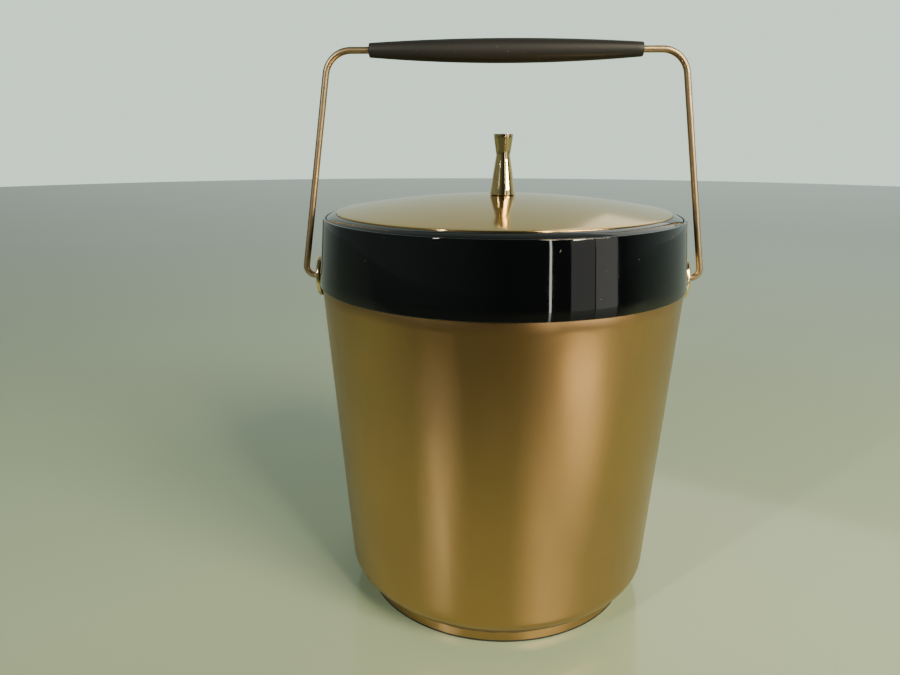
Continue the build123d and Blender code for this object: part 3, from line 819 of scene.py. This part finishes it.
backdrop = room.nodes["Background"]
backdrop.inputs["Color"].default_value = BACKDROP
backdrop.inputs["Strength"].default_value = 1.0
dim = room.nodes.new("ShaderNodeBackground")
dim.inputs["Color"].default_value = DIM
facing = room.nodes.new("ShaderNodeTexCoord").outputs["Generated"]
sides = room.nodes.new("ShaderNodeSeparateXYZ")
room.links.new(facing, sides.inputs[0])
towards = room.nodes.new("ShaderNodeVectorMath")
towards.operation = "DOT_PRODUCT"
towards.inputs[1].default_value = BRIGHT_SIDE
room.links.new(facing, towards.inputs[0])
leftwards = ramp(sides.outputs["X"], 0.0, -0.9, DIM_RIGHT, DIM_LEFT)
behind = ramp(towards.outputs["Value"], 0.1, 1.1, 0.0, BRIGHT)
both = room.nodes.new("ShaderNodeMath")
room.links.new(leftwards, both.inputs[0])
room.links.new(behind, both.inputs[1])
room.links.new(both.outputs[0], dim.inputs["Strength"])
seen = room.nodes.new("ShaderNodeLightPath")
either = room.nodes.new("ShaderNodeMixShader")
room.links.new(seen.outputs["Is Camera Ray"], either.inputs["Fac"])
room.links.new(dim.outputs[0], either.inputs[1])
room.links.new(backdrop.outputs[0], either.inputs[2])
room.links.new(either.outputs[0], room.nodes["World Output"].inputs["Surface"])
print("room nodes:", len(room.nodes))

# %% [markdown]
# ### The windows
# Each is a soft rectangle that faces the bucket. The low ones stand at the height of the collar, which
# mirrors them. The high ones light the lid and glance off the floor into the shell: broad ones at the
# right give its bright side, a wide flat one the patch under the band, and a narrow one at the left the
# thin bright line.

# %% Windows
CENTRE = Vector((0, 0, 0.14))
SUNNY = (1.0, 0.86, 0.62)
WARM = (1.0, 0.97, 0.90)


def window(name, azimuth, elevation, distance, width, height, power, colour):
    """A soft rectangular light; azimuth is measured from the camera's side, to the right."""
    a, e = math.radians(azimuth), math.radians(elevation)
    direction = Vector((math.sin(a) * math.cos(e), -math.cos(a) * math.cos(e), math.sin(e)))
    light = bpy.data.lights.new(name, "AREA")
    light.shape = "RECTANGLE"
    light.size, light.size_y, light.energy, light.color = width, height, power, colour
    lamp = bpy.data.objects.new(name, light)
    bpy.context.scene.collection.objects.link(lamp)
    lamp.location = CENTRE + direction * distance
    lamp.rotation_euler = direction.to_track_quat("Z", "Y").to_euler()
    lamp.visible_camera = False


window("high_right", 46, 38, 1.5, 0.45, 0.7, 15.0, SUNNY)
window("high_far_right", 72, 38, 1.5, 0.45, 0.7, 1.2, WARM)
window("high_front_right", 29, 36, 1.5, 0.16, 0.7, 11.0, SUNNY)
window("high_left_strip", -41, 27, 1.5, 0.04, 0.4, 9.0, WARM)
window("glance_right", 51, 15, 1.5, 0.60, 0.12, 14.0, SUNNY)
window("low_line", 26, 8, 1.5, 0.03, 0.7, 0.9, WARM)
window("low_right", 45, 6, 1.5, 0.38, 0.6, 0.6, WARM)
window("low_far_right", 60, 6, 1.5, 0.38, 0.6, 1.0, WARM)
window("back_right", 150, 35, 1.6, 0.9, 0.9, 2.5, WARM)
print("windows:", len(bpy.data.lights))

# %% [markdown]
# ### The camera
# The camera looks slightly down from in front, close up, with the wide lens of a telephone, so the
# bucket narrows towards the table more than its own taper alone would show.

# %% Camera
SENSOR = 36.0
LENS = 29.12
camera_data = bpy.data.cameras.new("camera")
camera_data.sensor_width = SENSOR
camera_data.lens = LENS
camera = bpy.data.objects.new("camera", camera_data)
bpy.context.scene.collection.objects.link(camera)
camera.location = (-0.01077, -0.41116, 0.2637)
camera.rotation_euler = (math.radians(74.23), 0, math.radians(2.55))
bpy.context.scene.camera = camera
print("camera at", tuple(round(v, 3) for v in camera.location), "lens", LENS)
